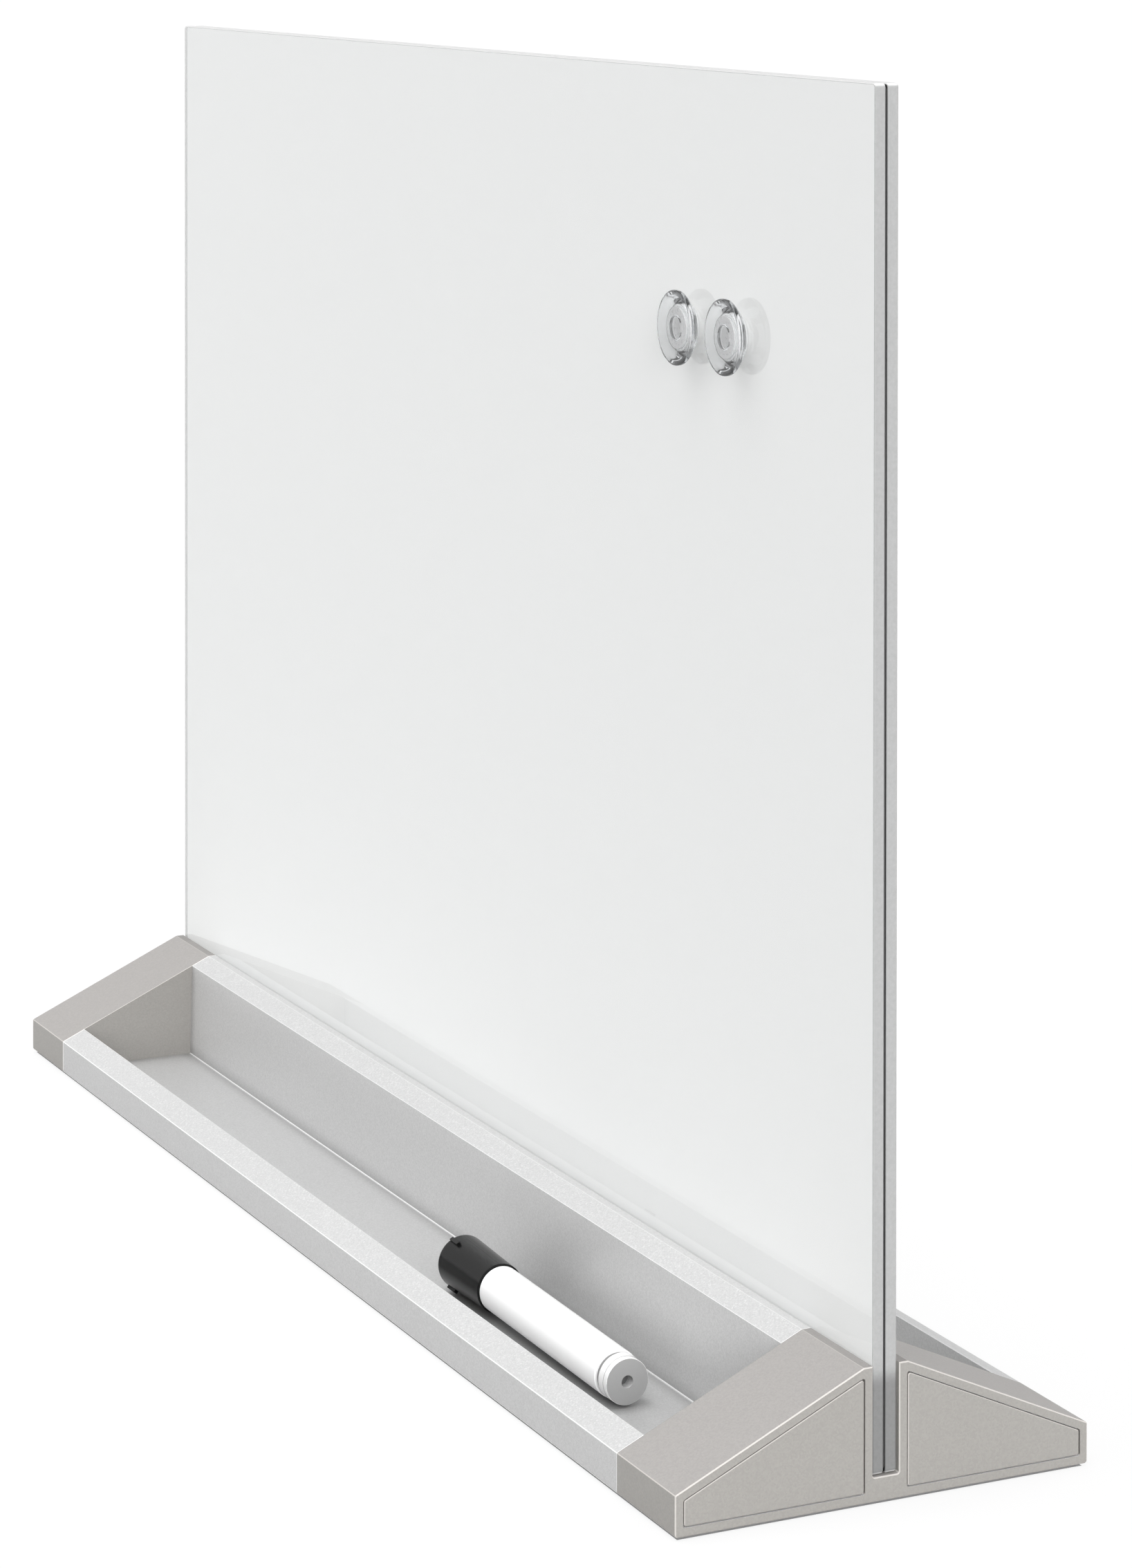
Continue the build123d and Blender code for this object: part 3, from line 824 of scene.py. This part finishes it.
def dress_nodes():
    silver = silver_look()
    cap = cap_look()
    rubber = plain_look("rubber_black", 0.035, roughness=0.75)
    screw = plain_look("screw_steel", 0.55, roughness=0.35, metallic=1.0)
    film = plain_look("film_backing", 0.24, roughness=0.6, shine=0.15)
    steel = plain_look("steel_sheet", 0.30, roughness=0.5, metallic=0.4, shine=0.15)
    nickel = magnet_look()
    white = plain_look("marker_white", 0.95, roughness=0.30, grain=0.01, shed=0.35)
    plug = plug_look()
    black = plain_look("marker_black", 0.006, roughness=0.22, grain=0.10, shine=0.24, shed=0.06)
    fibre = plain_look("ink_fibre", 0.05, roughness=0.9)
    clear = clear_plastic_look()
    paint("base_extrusion", silver)
    for end in ("left", "right"):
        paint(f"end_cap_{end}", cap)
        paint(f"cap_screws_{end}", screw)
        for row in ("front", "rear"):
            paint(f"cap_cover_{end}_{row}", cap)
            make_pad(row, end, rubber)
    for row, side in (("front", -1), ("rear", 1)):
        paint(f"glass_{row}", glass_look(row))
        make_film(row, side, film)
    make_knobs(clear, nickel)
    paint("steel_sheet", steel)
    paint("glazing_gasket", rubber)
    paint("marker_barrel", white)
    paint("marker_end_plug", plug)
    paint("marker_cap", black)
    paint("marker_nib_holder", white)
    paint("marker_nib", fibre)
    paint("marker_reservoir", fibre)


def make_floor():
    """A wide pale floor that keeps the object's shadow, with a painted contact shadow under the
    board.
    """
    bpy.ops.mesh.primitive_circle_add(
        vertices=FLOOR_SIDES,
        radius=FLOOR_RADIUS,
        fill_type="NGON",
        location=(0.0, 0.0, -FLOOR_DROP),
    )
    floor = bpy.context.object
    floor.name = "floor"
    look = Look("floor")
    distance = look.add("VectorMath", operation="LENGTH")
    look.feed(distance.inputs[0], look.place)
    near = look.step(distance.outputs["Value"], *FLOOR_DARK_REACH)
    dark = look.either(look.ray("Is Diffuse Ray"), look.lost_ray(near))
    plain = look.shader("BsdfDiffuse", color=look.mix(dark, FLOOR_TONE, FLOOR_DARK))
    shadow_share = look.spread(look.ray("Is Camera Ray"), 1.0, SHADOW_SHARE)
    open_floor = look.mix_shader(shadow_share, look.shader("Emission"), plain)

    # Painted contact shadow: a dark patch under the board's footprint
    reach = cad_bounds[1]
    within_x = look.math("LESS_THAN", look.size(look.part_of_place("X")), reach[X] - COVERED_INSET)
    within_y = look.math("LESS_THAN", look.size(look.part_of_place("Y")), reach[Y] - COVERED_INSET)
    contact_shadow = look.both(look.both(within_x, within_y), COVERED_SHADOW_SHARE)
    painted_shadow = look.shader("BsdfDiffuse", color=COVERED_SHADOW_TONE)
    floor.data.materials.append(look.finish(look.mix_shader(contact_shadow, open_floor, painted_shadow)))


def make_world():
    """Even studio light, which the camera and gloss see as white, with dark parts for the knobs."""
    world = bpy.data.worlds.new("studio")
    bpy.context.scene.world = world
    look = Look(None, world)
    behind = look.step(look.part_of_place("Y"), *BEHIND)
    raised = look.step(look.part_of_place("Z"), *RAISED)
    strength = look.both(
        look.spread(behind, FRONT_STRENGTH, REAR_STRENGTH),
        look.spread(raised, LOW_SHARE, 1.0),
    )
    light = look.shader("Background", strength=strength)

    steep = look.step(look.size(look.part_of_place("Z")), *STEEP)
    dim = look.both(look.both(look.ray("Is Glossy Ray"), behind), REAR_GLOSS_SHARE)
    dark = look.either(look.lost_ray(steep), dim)
    shown = look.shader("Background", strength=look.spread(dark, 1.0, DARK_STRENGTH))
    seen = look.either(
        look.ray("Is Camera Ray"),
        look.ray("Is Glossy Ray"),
        look.ray("Is Transmission Ray"),
    )
    look.finish(look.mix_shader(seen, light, shown))


def make_sun(name, source, strength):
    """Far, soft light from a direction. A strength of 1 lights white to 1."""
    lamp = bpy.data.lights.new(name, "SUN")
    lamp.energy = strength * math.pi
    lamp.angle = math.radians(SUN_WIDTH)
    lamp_object = bpy.data.objects.new(name, lamp)
    bpy.context.scene.collection.objects.link(lamp_object)
    lamp_object.visible_transmission = False
    lamp_object.visible_glossy = False
    lamp_object.rotation_mode = "QUATERNION"
    lamp_object.rotation_quaternion = (-Vector(source)).to_track_quat("-Z", "Y")


def make_camera():
    """The camera that the photograph's edges were fitted to."""
    level = math.cos(CAMERA_PITCH)
    forward = Vector(
        (
            math.sin(CAMERA_YAW) * level,
            math.cos(CAMERA_YAW) * level,
            math.sin(CAMERA_PITCH),
        )
    )
    level_right = Vector((math.cos(CAMERA_YAW), -math.sin(CAMERA_YAW), 0.0))
    level_up = level_right.cross(forward)
    right = math.cos(CAMERA_ROLL) * level_right + math.sin(CAMERA_ROLL) * level_up
    up = math.cos(CAMERA_ROLL) * level_up - math.sin(CAMERA_ROLL) * level_right
    turn = Matrix((right, up, -forward)).transposed()
    data = bpy.data.cameras.new("photo_camera")
    data.sensor_fit = "AUTO"
    data.sensor_width = CAMERA_SENSOR
    data.lens = CAMERA_LENS
    data.shift_x, data.shift_y = CAMERA_SHIFT
    data.clip_start, data.clip_end = CAMERA_CLIP
    camera = bpy.data.objects.new("photo_camera", data)
    bpy.context.scene.collection.objects.link(camera)
    camera.matrix_world = Matrix.Translation(CAMERA_PLACE) @ turn.to_4x4()
    bpy.context.scene.camera = camera


dress_nodes()
make_floor()
make_world()
for sun in SUNS:
    make_sun(*sun)
make_camera()
bpy.context.scene.view_settings.view_transform = "Standard"
